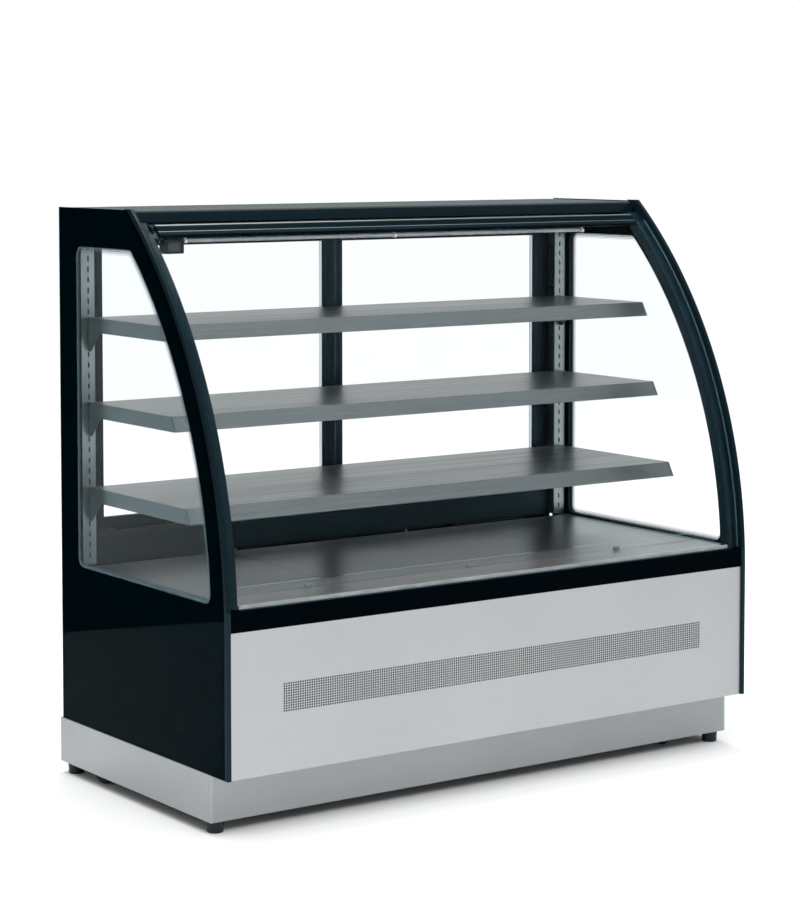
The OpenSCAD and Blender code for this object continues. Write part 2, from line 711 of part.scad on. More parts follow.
chassis_frame();
base_pan();
plinth_front();
plinth_sides();
levelling_feet();
castor_plates();
front_panel();
front_rail();
glass_gutter();
rear_panel();
tub_insulation();
tub_liner();
deck_panels();
return_grille();
deck_riser();
compressor();
condenser_coil();
condenser_shroud();
condenser_fan_motor();
evaporator_coil();
evaporator_fan_plate();
control_box();
mirror([1, 0, 0]) side_pane();  // side_glass_left
side_pane();  // side_glass_right
side_masks();
side_inner_panes();
side_spacers();
side_profiles();
rear_frame();
door_tracks();
shelf_uprights();
shelf_top();
shelf_middle();
shelf_bottom();
shelf_brackets();
top_panel();
canopy_rail();
lamp_housing();
led_tube();
display_unit();
hinge_brackets();
front_glass();
glass_hinge();
door_left_frame();
door_left_glass();
door_right_frame();
door_right_glass();
condenser_fan();
evaporator_fan(-evap_fan_x);  // evaporator_fan_left
evaporator_fan(evap_fan_x);  // evaporator_fan_right
rocker(switch_x[0]);  // light_switch
rocker(switch_x[1]);  // power_switch
castor_fork(0);  // castor_fork_fl
castor_fork(1);  // castor_fork_fr
castor_fork(2);  // castor_fork_rl
castor_fork(3);  // castor_fork_rr
castor_wheel(0);  // castor_wheel_fl
castor_wheel(1);  // castor_wheel_fr
castor_wheel(2);  // castor_wheel_rl
castor_wheel(3);  // castor_wheel_rr
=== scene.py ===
import math

import bmesh
import bpy
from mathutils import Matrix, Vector


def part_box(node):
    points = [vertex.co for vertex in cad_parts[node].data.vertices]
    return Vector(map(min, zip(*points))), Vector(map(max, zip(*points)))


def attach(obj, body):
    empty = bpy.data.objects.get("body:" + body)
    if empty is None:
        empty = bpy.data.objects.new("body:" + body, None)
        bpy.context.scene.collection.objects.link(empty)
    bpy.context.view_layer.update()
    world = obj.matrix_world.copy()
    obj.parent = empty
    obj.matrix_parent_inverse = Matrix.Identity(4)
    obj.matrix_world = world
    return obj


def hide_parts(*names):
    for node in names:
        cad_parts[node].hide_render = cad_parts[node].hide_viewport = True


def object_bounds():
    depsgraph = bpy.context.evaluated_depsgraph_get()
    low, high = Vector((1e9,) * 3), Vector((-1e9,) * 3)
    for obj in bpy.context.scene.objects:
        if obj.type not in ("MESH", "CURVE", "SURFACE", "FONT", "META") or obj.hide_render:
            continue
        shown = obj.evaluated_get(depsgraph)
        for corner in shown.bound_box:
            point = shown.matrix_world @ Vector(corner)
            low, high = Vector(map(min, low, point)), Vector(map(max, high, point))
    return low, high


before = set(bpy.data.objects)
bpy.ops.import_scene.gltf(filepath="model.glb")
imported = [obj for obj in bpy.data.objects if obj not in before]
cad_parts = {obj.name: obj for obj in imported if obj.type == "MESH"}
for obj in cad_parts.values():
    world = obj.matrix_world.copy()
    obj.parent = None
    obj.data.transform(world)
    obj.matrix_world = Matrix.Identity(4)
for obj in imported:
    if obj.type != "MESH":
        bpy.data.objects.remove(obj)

cad_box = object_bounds()

# ---------------------------------------------------------------- sizes, in metres

LOW, HIGH = cad_box
HALF_W = HIGH.x
FRONT, TOP = LOW.y, HIGH.z
ARC_R = 1.195                       # radius of the cheeks' front edge
ARC_Z = 0.450                       # height of its centre, where the curve begins
ARC_Y = FRONT + ARC_R
CURVE_STEPS = 72
PANE_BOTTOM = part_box("side_glass_left")[0].z
RAIL_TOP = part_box("front_rail")[1].z
FASCIA_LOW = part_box("canopy_rail")[0].z
MASK_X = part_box("side_glass_right")[0].x

GLASS_OUTER_R = ARC_R - 0.014       # curved front glass
GLASS_T = 0.006
GLASS_INNER_R = GLASS_OUTER_R - GLASS_T
GLASS_MID_R = GLASS_OUTER_R - GLASS_T / 2
GLASS_Z = (0.500, 1.298)            # its lower and upper end
GLASS_STEPS = 128

TRIM_W = 0.0103                     # across the trim on the cheek's edge
CARRIER_W = 0.040                   # from the cheek's outer face to the carrier's inner edge
CARRIER_DEPTH = 0.046               # from the cheek's front edge to the carrier's back

WINDOW_INSET = 0.072                # from the cheek's front edge to the side window
WINDOW_TOP = 1.258
WINDOW_REAR = 0.291
WINDOW_LOW = (0.505, 0.507)         # height of its lower edge in front and at the rear
WINDOW_R = 0.022
WINDOW_STEPS = 40
# rows of printed dots round the window: (inset, radius)
DOT_ROWS = ((0.0014, 0.0025), (0.0056, 0.0021), (0.0096, 0.0015), (0.0130, 0.0009))
DOT_PITCH = 0.0052

VENT_X = 0.605                      # vents in the front panel
VENT_Z = (0.265, 0.330)
VENT_COLS, VENT_ROWS, VENT_HOLE = 200, 12, 0.0037
GRILLE_PITCH, GRILLE_HOLE = 0.0066, 0.0044

SHARP = 35                          # degrees: edges sharper than this get a small bevel


# ---------------------------------------------------------------- camera

def make_camera():
    """The photo's camera, fitted to the straight edges of the case: part shift, part tilt."""
    data = bpy.data.cameras.new("camera")
    data.lens = 99.27
    data.sensor_width = 36
    data.shift_y = -0.17
    data.clip_start = 0.1
    data.clip_end = 200
    cam = bpy.data.objects.new("camera", data)
    cam.location = (-3.5473, -4.9550, 1.5127)
    cam.rotation_euler = (math.radians(90 - 3.767), 0, -math.radians(35.382))
    bpy.context.scene.collection.objects.link(cam)
    bpy.context.scene.camera = cam


make_camera()


# ---------------------------------------------------------------- materials

class Material:
    """A node material whose Principled shader and helpers are at hand."""

    def __init__(self, name, colour, rough=0.5, metal=0.0, **sockets):
        self.mat = bpy.data.materials.new(name)
        self.mat.use_nodes = True
        self.nodes = self.mat.node_tree.nodes
        self.links = self.mat.node_tree.links
        self.bsdf = self.nodes["Principled BSDF"]
        self.colour = (*colour, 1)
        self.bsdf.inputs["Base Color"].default_value = self.colour
        self.bsdf.inputs["Roughness"].default_value = rough
        self.bsdf.inputs["Metallic"].default_value = metal
        for key, value in sockets.items():
            self.bsdf.inputs[key.replace("_", " ")].default_value = value
        self.coord = self.nodes.new("ShaderNodeTexCoord")

    def noise(self, scale, stretch=(1, 1, 1), detail=3.0):
        """Noise in object space: scale per metre, stretched along the axes given."""
        mapping = self.nodes.new("ShaderNodeMapping")
        mapping.inputs["Scale"].default_value = stretch
        tex = self.nodes.new("ShaderNodeTexNoise")
        tex.inputs["Scale"].default_value = scale
        tex.inputs["Detail"].default_value = detail
        self.links.new(self.coord.outputs["Object"], mapping.inputs["Vector"])
        self.links.new(mapping.outputs["Vector"], tex.inputs["Vector"])
        return tex.outputs["Fac"]

    def ramp(self, fac, low, high, span=(0.3, 0.7)):
        """The part of fac inside span, brought to low..high."""
        node = self.nodes.new("ShaderNodeMapRange")
        node.inputs["From Min"].default_value = span[0]
        node.inputs["From Max"].default_value = span[1]
        node.inputs["To Min"].default_value = low
        node.inputs["To Max"].default_value = high
        self.links.new(fac, node.inputs["Value"])
        return node.outputs["Result"]

    def tint(self, fac, dark, light, span=(0.3, 0.7)):
        """Base colour that runs between two shades of itself with fac."""
        mix = self.nodes.new("ShaderNodeMix")
        mix.data_type = "RGBA"
        mix.inputs["A"].default_value = (*[c * dark for c in self.colour[:3]], 1)
        mix.inputs["B"].default_value = (*[min(1, c * light) for c in self.colour[:3]], 1)
        self.links.new(self.ramp(fac, 0, 1, span), mix.inputs["Factor"])
        self.links.new(mix.outputs["Result"], self.bsdf.inputs["Base Color"])

    def vary_rough(self, fac, low, high):
        """Roughness that runs from low to high with fac."""
        self.links.new(self.ramp(fac, low, high), self.bsdf.inputs["Roughness"])

    def bump(self, fac, depth, strength):
        """Surface relief of fac, depth in metres."""
        node = self.nodes.new("ShaderNodeBump")
        node.inputs["Distance"].default_value = depth
        node.inputs["Strength"].default_value = strength
        self.links.new(fac, node.inputs["Height"])
        self.links.new(node.outputs["Normal"], self.bsdf.inputs["Normal"])


GRAIN = {"x": (0.012, 1, 1), "y": (1, 0.012, 1), "z": (1, 1, 0.012)}


def brushed_steel(name, grain="x", colour=(0.600, 0.603, 0.604), rough=0.42):
    """Stainless sheet with hairlines along one axis and slow changes of gloss."""
    m = Material(name, colour, rough, 1.0)
    fine = m.noise(1400, GRAIN[grain], 2)
    cloud = m.noise(4, detail=2)
    m.tint(fine, 0.965, 1.03, (0.35, 0.65))
    m.vary_rough(cloud, rough - 0.03, rough + 0.04)
    m.bump(fine, 0.00005, 0.3)
    return m.mat


def paint(name, colour, rough, peel=0.00003, scale=700, level=0.5):
    """Powder or spray paint: fine orange peel and slow changes of gloss."""
    m = Material(name, colour, rough, Specular_IOR_Level=level)
    m.tint(m.noise(14), 0.9, 1.08)
    m.vary_rough(m.noise(40), rough - 0.04, rough + 0.05)
    m.bump(m.noise(scale, detail=2), peel, 0.3)
    return m.mat


def anodised(name, colour, rough, grain, metal, level=0.5, tint=(1, 1, 1)):
    """Drawn or rolled metal with faint streaks along one axis."""
    m = Material(name, colour, rough, metal, Specular_IOR_Level=level,
                 Specular_Tint=(*tint, 1))
    streak = m.noise(500, GRAIN[grain], 3)
    m.tint(streak, 0.85, 1.15)
    m.vary_rough(m.noise(60, GRAIN[grain]), rough - 0.04, rough + 0.06)
    m.bump(streak, 0.00004, 0.3)
    return m.mat


def gloss_enamel(name, colour, level, tint, rough=0.06):
    """Smooth gloss coat; level and tint set the strength and colour of its reflections."""
    m = Material(name, colour, rough, Specular_IOR_Level=level, Specular_Tint=(*tint, 1))
    m.tint(m.noise(5), 0.94, 1.06)
    m.vary_rough(m.noise(30), rough - 0.01, rough + 0.01)
    m.bump(m.noise(60, detail=1), 0.00001, 0.05)
    return m.mat


def clear_glass(name, colour, ior):
    """Clear pane; a low ior keeps the studio's reflection faint."""
    m = Material(name, colour, 0.0, Transmission_Weight=1.0, IOR=ior)
    m.tint(m.noise(2, detail=1), 0.995, 1.0)
    return m.mat


def glass_edge(name, colour, rough):
    """Polished edge of a pane, which looks dark whatever is behind it."""
    m = Material(name, colour, rough)
    m.tint(m.noise(60, GRAIN["z"]), 0.8, 1.2)
    return m.mat


def plastic(name, colour, rough, texture=900, depth=0.00005):
    """Moulded plastic or rubber with a fine texture."""
    m = Material(name, colour, rough)
    m.tint(m.noise(25), 0.85, 1.15)
    m.vary_rough(m.noise(90), rough - 0.05, rough + 0.06)
    m.bump(m.noise(texture, detail=2), depth, 0.5)
    return m.mat


BLUED = (0.5, 0.85, 1.0)            # colour of the reflections in the black profiles

STEEL_X = brushed_steel("stainless_along_x")
STEEL_Y = brushed_steel("stainless_along_y", "y", (0.54, 0.55, 0.552))
# plinth front: a darker stainless, partly the steel's own grey and partly painted shade from
# the front panel overhanging it
PLINTH_STEEL_SHADED = brushed_steel("stainless_plinth_painted_shade", "x", (0.49, 0.505, 0.51), 0.55)
GRILLE_STEEL = brushed_steel("stainless_grille", "x", (0.46, 0.46, 0.455), 0.30)
STEEL_Z = brushed_steel("stainless_along_z", "z", (0.26, 0.305, 0.32), 0.30)
DECK_STEEL = brushed_steel("stainless_deck", "x", (0.238, 0.268, 0.276), 0.34)
LAMP_STEEL = brushed_steel("polished_reflector", "x", (0.072, 0.078, 0.080), 0.16)
ENAMEL = gloss_enamel("black_enamel", (0.0004, 0.020, 0.030), 0.60, (0.40, 0.75, 1.0))
BORDER = gloss_enamel("glass_border_enamel", (0.0025, 0.0080, 0.0115), 0.1,
                      (0.7, 0.9, 1.0), 0.16)
RAIL_BLACK = gloss_enamel("black_gloss_paint", (0.0002, 0.0012, 0.0024), 0.015,
                          (0.4, 0.8, 1.0), 0.2)
FASCIA_BLACK = gloss_enamel("canopy_gloss_paint", (0.0050, 0.0130, 0.0190), 0.12,
                            (0.5, 0.8, 1.0), 0.2)
PANE = clear_glass("cheek_glass", (0.985, 0.996, 0.996), 1.07)
FRONT_PANE = clear_glass("front_glass", (0.985, 0.994, 0.996), 1.05)
DOOR_PANE = clear_glass("door_glass", (0.985, 0.995, 0.996), 1.12)
RISER_PANE = clear_glass("riser_acrylic", (0.94, 0.97, 0.975), 1.35)
EDGE_GLASS = glass_edge("polished_glass_edge", (0.05, 0.085, 0.095), 0.25)
BLACK_ALU = anodised("black_anodised", (0.0040, 0.0120, 0.0170), 0.32, "z", 0.0, 0.10, BLUED)
FRAME_ALU = anodised("frame_anodised", (0.0150, 0.0320, 0.0390), 0.32, "x", 0.0, 0.20, BLUED)
DOOR_ALU = anodised("door_anodised", (0.0090, 0.0220, 0.0290), 0.32, "z", 0.0, 0.22, BLUED)
STRIP_ALU = anodised("strip_anodised", (0.0100, 0.0240, 0.0320), 0.40, "z", 0.0, 0.08, BLUED)
HINGE_ALU = anodised("hinge_anodised", (0.0040, 0.0120, 0.0160), 0.40, "x", 0.0, 0.03, BLUED)
LINE_ALU = anodised("bright_line", (0.190, 0.206, 0.211), 0.42, "x", 0.9)
LEDGE_ALU = anodised("ledge_anodised", (0.10, 0.16, 0.175), 0.35, "y", 0.8)
LIGHT_ALU = anodised("light_anodised", (0.55, 0.60, 0.61), 0.25, "z", 1.0)
SPACER = anodised("spacer_bar", (0.018, 0.030, 0.035), 0.5, "z", 0.0, 0.1, BLUED)
SHELF_GREY = anodised("shelf_grey", (0.105, 0.122, 0.126), 0.34, "x", 0.8)
BRACKET_GREY = anodised("bracket_grey", (0.072, 0.112, 0.121), 0.34, "y", 0.8)
TOP_GREY = paint("top_panel_grey", (0.050, 0.066, 0.069), 0.45, level=0.05)
BLACK_PAINT = paint("black_powder_coat", (0.012, 0.016, 0.019), 0.45)
BLACK_PLASTIC = plastic("black_plastic", (0.0030, 0.0100, 0.0150), 0.42)
GREY_PLASTIC = paint("dark_grey_plastic", (0.0110, 0.0250, 0.0300), 0.4, 0.00005, 900, 0.12)
WHITE_PLASTIC = plastic("white_plastic", (0.86, 0.88, 0.88), 0.35)
RUBBER = plastic("tyre_rubber", (0.006, 0.008, 0.010), 0.55, 400, 0.0001)
GASKET = plastic("grey_gasket", (0.20, 0.22, 0.22), 0.6, 500, 0.0001)
FOAM = plastic("rigid_foam", (0.62, 0.55, 0.34), 0.9, 250, 0.0006)
FILTER = paint("filter_mat", (0.0040, 0.0100, 0.0130), 0.90, 0.0008, 600, 0.0)
GALVANISED = paint("galvanised", (0.36, 0.38, 0.39), 0.38, 0.00005, 60)
ZINC = anodised("zinc_plate", (0.55, 0.56, 0.55), 0.3, "z", 1.0)
FINS = anodised("coil_fins", (0.6, 0.62, 0.63), 0.35, "z", 1.0)
TUBE_WHITE = plastic("lamp_diffuser", (0.36, 0.39, 0.40), 0.25)
LENS = gloss_enamel("readout_lens", (0.075, 0.084, 0.078), 0.2, (1, 1, 1))
DIGIT = plastic("readout_digit", (0.018, 0.022, 0.020), 0.4)


# ---------------------------------------------------------------- mesh helpers

def make_object(name, verts, faces, mat, body, slot, smooth=None, closed=True):
    """A visual piece that rides on a body; smooth is the angle its shading keeps sharp."""
    mesh = bpy.data.meshes.new(name)
    mesh.from_pydata([tuple(v) for v in verts], [], faces)
    mesh.validate()
    if closed:
        face_outwards(mesh)
    mesh.update()
    obj = bpy.data.objects.new(name, mesh)
    bpy.context.scene.collection.objects.link(obj)
    mesh.materials.append(mat)
    if smooth:
        shade(obj, smooth)
    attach(obj, body)
    return obj


def face_outwards(mesh):
    """Turn every face of a closed mesh to the outside."""
    bm = bmesh.new()
    bm.from_mesh(mesh)
    bmesh.ops.recalc_face_normals(bm, faces=bm.faces)
    bm.to_mesh(mesh)
    bm.free()


def shade(obj, degrees=SHARP):
    """Smooth shading that keeps edges sharper than the angle given."""
    mesh = obj.data
    mesh.shade_smooth()
    mesh.set_sharp_from_angle(angle=math.radians(degrees))


def bevel(obj, width=0.0006):
    """Rounded edges, so that they catch the light."""
    mod = obj.modifiers.new("edges", "BEVEL")
    mod.width = width
    mod.segments = 2
    mod.limit_method = "ANGLE"
    mod.angle_limit = math.radians(SHARP)


def rounded(points, steps=4):
    """Outline from corners (a, b, radius), each radius drawn in so many steps."""
    out = []
    count = len(points)
    for i, (x, y, r) in enumerate(points):
        here = Vector((x, y))
        if r <= 0:
            out.append(here)
            continue
        to_last = (Vector(points[i - 1][:2]) - here).normalized()
        to_next = (Vector(points[(i + 1) % count][:2]) - here).normalized()
        half = to_last.angle(to_next) / 2
        centre = here + (to_last + to_next).normalized() * r / math.sin(half)
        start = here + to_last * r / math.tan(half) - centre
        end = here + to_next * r / math.tan(half) - centre
        a0 = math.atan2(start.y, start.x)
        turn = math.atan2(start.x * end.y - start.y * end.x, start.dot(end))
        for k in range(steps + 1):
            a = a0 + turn * k / steps
            out.append(centre + r * Vector((math.cos(a), math.sin(a))))
    return out


def loft(rings, closed=True):
    """Vertices and faces of a tube through equal closed rings, capped when closed."""
    verts = [v for ring in rings for v in ring]
    n = len(rings[0])
    faces = []
    for k in range(len(rings) - 1):
        for i in range(n):
            j = (i + 1) % n
            faces.append((k * n + i, k * n + j, (k + 1) * n + j, (k + 1) * n + i))
    if closed:
        last = (len(rings) - 1) * n
        faces.append(tuple(range(n - 1, -1, -1)))
        faces.append(tuple(range(last, last + n)))
    return verts, faces


PLACE = {
    "x": lambda a, b, t: (t, a, b),
    "y": lambda a, b, t: (a, t, b),
    "z": lambda a, b, t: (a, b, t),
}


def extrusion(axis, outline, low, high):
    """Prism of an outline along an axis: (y, z) along x, (x, z) along y, (x, y) along z."""
    rings = [[PLACE[axis](a, b, t) for a, b in outline] for t in (low, high)]
    return loft(rings)


def rectangle(cx, cy, half_w, half_h, r):
    """Outline of a rectangle about its centre, with rounded corners."""
    return rounded([(cx - half_w, cy - half_h, r), (cx + half_w, cy - half_h, r),
                    (cx + half_w, cy + half_h, r), (cx - half_w, cy + half_h, r)])


def merge(*parts):
    """One set of vertices and faces out of several."""
    verts, faces = [], []
    for v, f in parts:
        base = len(verts)
        verts += list(v)
        faces += [tuple(i + base for i in face) for face in f]
    return verts, faces


def mirrored(part):
    """The same part on the other side of the case."""
    verts, faces = part
    return [(-x, y, z) for x, y, z in verts], [tuple(reversed(f)) for f in faces]


def slab(low, high, r=0.0, axis="x"):
    """Box with its outline's corners rounded about one axis."""
    a, b = {"x": (1, 2), "y": (0, 2), "z": (0, 1)}[axis]
    k = "xyz".index(axis)
    outline = rounded([(low[a], low[b], r), (high[a], low[b], r),
                       (high[a], high[b], r), (low[a], high[b], r)])
    return extrusion(axis, outline, low[k], high[k])


def lathe(profile, centre, axis="z", steps=48):
    """Solid of revolution from (radius, height) points; its two ends are capped."""
    rings = []
    for r, h in profile:
        ring = []
        for i in range(steps):
            a = 2 * math.pi * i / steps
            c, s = r * math.cos(a), r * math.sin(a)
            p = {"z": (c, s, h), "x": (h, c, s), "y": (s, h, c)}[axis]
            ring.append((p[0] + centre[0], p[1] + centre[1], p[2] + centre[2]))
        rings.append(ring)
    return loft(rings)


def front_y(q, z):
    """Y of the cheek's front edge, q inside it, at height z."""
    if z <= ARC_Z:
        return FRONT + q
    return ARC_Y - math.sqrt((ARC_R - q) ** 2 - (z - ARC_Z) ** 2)


def curve_levels(low, high):
    """Heights that divide the curve into equal angles, and low itself if it is below."""
    a0 = math.asin(max(0.0, low - ARC_Z) / ARC_R)
    a1 = math.asin((high - ARC_Z) / ARC_R)
    levels = [ARC_Z + ARC_R * math.sin(a0 + (a1 - a0) * i / CURVE_STEPS)
              for i in range(CURVE_STEPS + 1)]
    levels[0], levels[-1] = max(low, ARC_Z), high
    return ([low] if low < ARC_Z else []) + levels


def curved_bar(section, low, high):
    """Bar that follows the cheek's front edge; its section is in (depth q, inset e)."""
    rings = [[(HALF_W - e, front_y(q, z), z) for q, e in section]
             for z in curve_levels(low, high)]
    return loft(rings)


AROUND = ((-1, -1), (0, -1), (1, -1), (1, 0), (1, 1), (0, 1), (-1, 1), (-1, 0))


def perforated(xs, ys, cols, rows, hole, square):
    """Flat sheet with a field of square or eight-sided holes, hole wide.

    xs and ys are (edge, field low, field high, edge); each cell is a ring of eight faces.
    """
    px, py = (xs[2] - xs[1]) / cols, (ys[2] - ys[1]) / rows
    gx = [xs[0]] + [xs[1] + px * i / 2 for i in range(2 * cols + 1)] + [xs[3]]
    gy = [ys[0]] + [ys[1] + py * i / 2 for i in range(2 * rows + 1)] + [ys[3]]
    wide = len(gx)
    verts = [(x, y) for y in gy for x in gx]
    faces = []
    for j in range(len(gy) - 1):
        for i in range(wide - 1):
            if 0 < i < wide - 2 and 0 < j < len(gy) - 2:
                continue
            k = j * wide + i
            faces.append((k, k + 1, k + 1 + wide, k + wide))
    for j in range(rows):
        for i in range(cols):
            ci, cj = 2 + 2 * i, 2 + 2 * j
            base = len(verts)
            for dx, dy in AROUND:
                f = 1.0 if square or dx * dy == 0 else math.sqrt(0.5)
                verts.append((gx[ci] + dx * f * hole / 2, gy[cj] + dy * f * hole / 2))
            for k in range(len(AROUND)):
                n = (k + 1) % len(AROUND)
                outer = [(cj + AROUND[m][1]) * wide + ci + AROUND[m][0] for m in (k, n)]
                faces.append((outer[0], outer[1], base + n, base + k))
    return verts, faces


def solid_sheet(obj, thickness):
    """Give a flat sheet its thickness: along its normals, or against them if negative."""
    mod = obj.modifiers.new("thickness", "SOLIDIFY")
    mod.thickness = thickness
    mod.offset = 1


def finish_node(node, mat, edge=0.0006):
    """A CAD node that stays: its look and softened edges."""
    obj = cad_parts[node]
    obj.data.materials.clear()
    obj.data.materials.append(mat)
    shade(obj)
    if edge:
        bevel(obj, edge)
    return obj


# ---------------------------------------------------------------- base

def make_plinth():
    """Stainless plinth all round the base."""
    # the front's darker steel is partly painted shade under the overhanging front panel
    finish_node("plinth_front", PLINTH_STEEL_SHADED)
    finish_node("plinth_sides", STEEL_Y)


def make_feet():
    """Levelling feet with ribs round the grip."""
    low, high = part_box("levelling_feet")
    r, stem, ribs = 0.0195, 0.005, 24
    profile = [(0.0005, 0), (r - 0.0045, 0), (r - 0.0015, 0.0012), (r - 0.0008, 0.0035),
               (r - 0.0008, 0.0145), (r - 0.0002, 0.0158), (r, 0.0175), (r, 0.0285),
               (r - 0.001, 0.0295), (r - 0.004, 0.033), (0.0055, 0.0335), (stem, 0.034),
               (stem, high.z), (0.0005, high.z)]
    rib = [(0.0002, 0.018), (0.0007, 0.0185), (0.0007, 0.0275), (0.0002, 0.028)]
    rib_r = r - 0.0006
    parts = []
    for x in (low.x + r, high.x - r):
        for y in (low.y + r, high.y - r):
            parts.append(lathe(profile, (x, y, 0), steps=56))
            for k in range(ribs):
                a = 2 * math.pi * k / ribs
                at = (x + rib_r * math.cos(a), y + rib_r * math.sin(a), 0)
                parts.append(lathe(rib, at, steps=8))
    feet = make_object("levelling_feet_ribbed", *merge(*parts), BLACK_PLASTIC, "cabinet",
                       "black_plastic", 40)
    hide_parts("levelling_feet")


def make_castors():
    """Top plates, forks and wheels of the four castors."""
    finish_node("castor_plates", ZINC, 0.0004)
    for key in ("fl", "fr", "rl", "rr"):
        finish_node(f"castor_fork_{key}", ZINC, 0.0003)
        finish_node(f"castor_wheel_{key}", RUBBER, 0.0005)


# ---------------------------------------------------------------- lower body

def make_front_panel():
    """Sheet with rows of square punched holes, its folds, and the filter mat behind."""
    low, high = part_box("front_panel")
    sheet, fold_depth = 0.0010, 0.02
    field, faces = perforated((low.x, -VENT_X, VENT_X, high.x), (low.z, *VENT_Z, high.z),
                              VENT_COLS, VENT_ROWS, VENT_HOLE, True)
    skin = make_object("front_panel_vented", [(x, low.y, z) for x, z in field], faces,
                       STEEL_X, "cabinet", "stainless", closed=False)
    solid_sheet(skin, -sheet)
    folds = merge(
        slab((low.x, low.y + sheet, low.z), (high.x, high.y, low.z + sheet)),
        slab((low.x, low.y + sheet, high.z - sheet), (high.x, low.y + fold_depth, high.z)))
    mat = slab((-VENT_X - 0.012, low.y + 0.0035, VENT_Z[0] - 0.010),
               (VENT_X + 0.012, low.y + 0.0095, VENT_Z[1] + 0.010), 0.001)
    make_object("vent_filter_mat", *mat, FILTER, "cabinet", "black_plastic", 40)
    fold = make_object("front_panel_folds", *folds, STEEL_X, "cabinet", "stainless")
    bevel(fold, 0.0003)
    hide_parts("front_panel")


def make_front_rail():
    """Black rail, and the gutter that takes the glass with its seal and two bumpers."""
    finish_node("front_rail", RAIL_BLACK, 0.0012)
    finish_node("glass_gutter", HINGE_ALU, 0.0003)
    low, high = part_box("glass_gutter")
    seat, lip, behind = high.z - 0.008, high.z + 0.0005, -0.3575
    outline = rounded([(-0.3592, seat, 0.0008), (behind, seat, 0.0004),
                       (behind, lip, 0.0006), (-0.3588, lip, 0.0006)])
    bumper_x, half = 0.491, 0.006
    bumpers = [slab((x - half, -0.354, seat), (x + half, -0.346, high.z - 0.002), 0.001)
               for x in (-bumper_x, bumper_x)]
    make_object("front_glass_bumpers", *merge(*bumpers), RUBBER, "cabinet", "tyre_black", 30)
    make_object("front_glass_seal", *extrusion("x", outline, low.x + 0.002, high.x - 0.002),
                GASKET, "cabinet", "black_plastic", 40)


def louvre(x0, x1, z, y, depth, height):
    """One pressed louvre: a hood with rounded ends, open along its lower edge."""
    end, skin, middle = 0.012, 0.001, 6
    stations = [(x0, 0.0), (x0 + end * 0.4, 0.75)]
    stations += [(x0 + end + (x1 - x0 - 2 * end) * i / middle, 1.0) for i in range(middle + 1)]
    stations += [(x1 - end * 0.4, 0.75), (x1, 0.0)]
    rings = []
    for x, k in stations:
        d = depth * k
        outer = [(x, y, z + height), (x, y + d * 0.55, z + height * 0.6),
                 (x, y + d * 0.9, z + height * 0.2), (x, y + d, z)]
        inner = [(x, y + max(0, d - skin), z),
                 (x, y + max(0, d * 0.9 - skin), z + height * 0.2),
                 (x, y + max(0, d * 0.55 - skin), z + height * 0.6 - 0.0006 * k),
                 (x, y - 0.0005, z + height - skin)]
        rings.append(outer + inner)
    return loft(rings)


def make_rear_panel():
    """Rear panel with three fields of louvres and its screws."""
    finish_node("rear_panel", BLACK_PAINT, 0)
    low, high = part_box("rear_panel")
    fields, half = (-0.52, 0.0, 0.52), 0.19
    rows, lowest, pitch = 10, 0.180, 0.018
    root, depth, height = low.y - 0.0060, 0.0058, 0.0085
    hoods = [louvre(cx - half, cx + half, lowest + row * pitch, root, depth, height)
             for cx in fields for row in range(rows)]
    make_object("rear_louvres", *merge(*hoods), BLACK_PAINT, "cabinet", "black_paint", 40)
    head = [(0.0003, 0), (0.0042, 0), (0.0042, 0.0006), (0.0025, 0.0016), (0.0003, 0.0018)]
    screws = [lathe(head, (x, high.y - 0.0018, z), "y", 20)
              for x in (-0.725, -0.26, 0.26, 0.725)
              for z in (low.z + 0.012, high.z - 0.012)]
    make_object("rear_panel_screws", *merge(*screws), ZINC, "cabinet", "zinc", 40)


def make_controls():
    """Control box and its two rockers, each in a bezel."""
    finish_node("control_box", BLACK_PLASTIC)
    finish_node("light_switch", BLACK_PLASTIC, 0.0005)
    finish_node("power_switch", BLACK_PLASTIC, 0.0005)
    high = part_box("control_box")[1]
    back, face = high.y - 0.0012, high.y - 0.0001
    for name in ("light_switch", "power_switch"):
        a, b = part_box(name)
        cx, cz = (a.x + b.x) / 2, (a.z + b.z) / 2
        outer = rectangle(cx, cz, 0.0165, 0.021, 0.003)
        inner = rectangle(cx, cz, 0.0127, 0.0172, 0.001)
        rings = [[(x, y, z) for x, z in outline]
                 for outline, y in ((outer, back), (outer, face), (inner, face), (inner, back),
                                    (outer, back))]
        make_object(f"{name}_bezel", *loft(rings, False), GREY_PLASTIC, "cabinet",
                    "black_plastic", 30)


# ---------------------------------------------------------------- deck

def make_deck():
    """Deck with its clear upstand and return grille."""
    finish_node("deck_panels", DECK_STEEL)
    finish_node("deck_riser", RISER_PANE, 0.0005).visible_shadow = False
    make_return_grille()
    make_riser_clips()
    make_ledges()


def make_return_grille():
    """Sheet with a fine round perforation, folded down along both sides."""
    low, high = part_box("return_grille")
    sheet, edge = 0.0012, 0.006
    cols = round((high.x - low.x - 2 * edge) / GRILLE_PITCH)
    rows = round((high.y - low.y - 2 * edge) / GRILLE_PITCH)
    field, faces = perforated((low.x, low.x + edge, high.x - edge, high.x),
                              (low.y, low.y + edge, high.y - edge, high.y),
                              cols, rows, GRILLE_HOLE, False)
    top = make_object("return_grille_mesh", [(x, y, high.z) for x, y in field], faces,
                      GRILLE_STEEL, "cabinet", "stainless", closed=False)
    solid_sheet(top, -sheet)
    skirts = merge(
        slab((low.x, low.y, low.z), (high.x, low.y + sheet, high.z - sheet)),
        slab((low.x, high.y - sheet, low.z), (high.x, high.y, high.z - sheet)))
    make_object("return_grille_skirt", *skirts, DECK_STEEL, "cabinet", "stainless")
    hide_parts("return_grille")


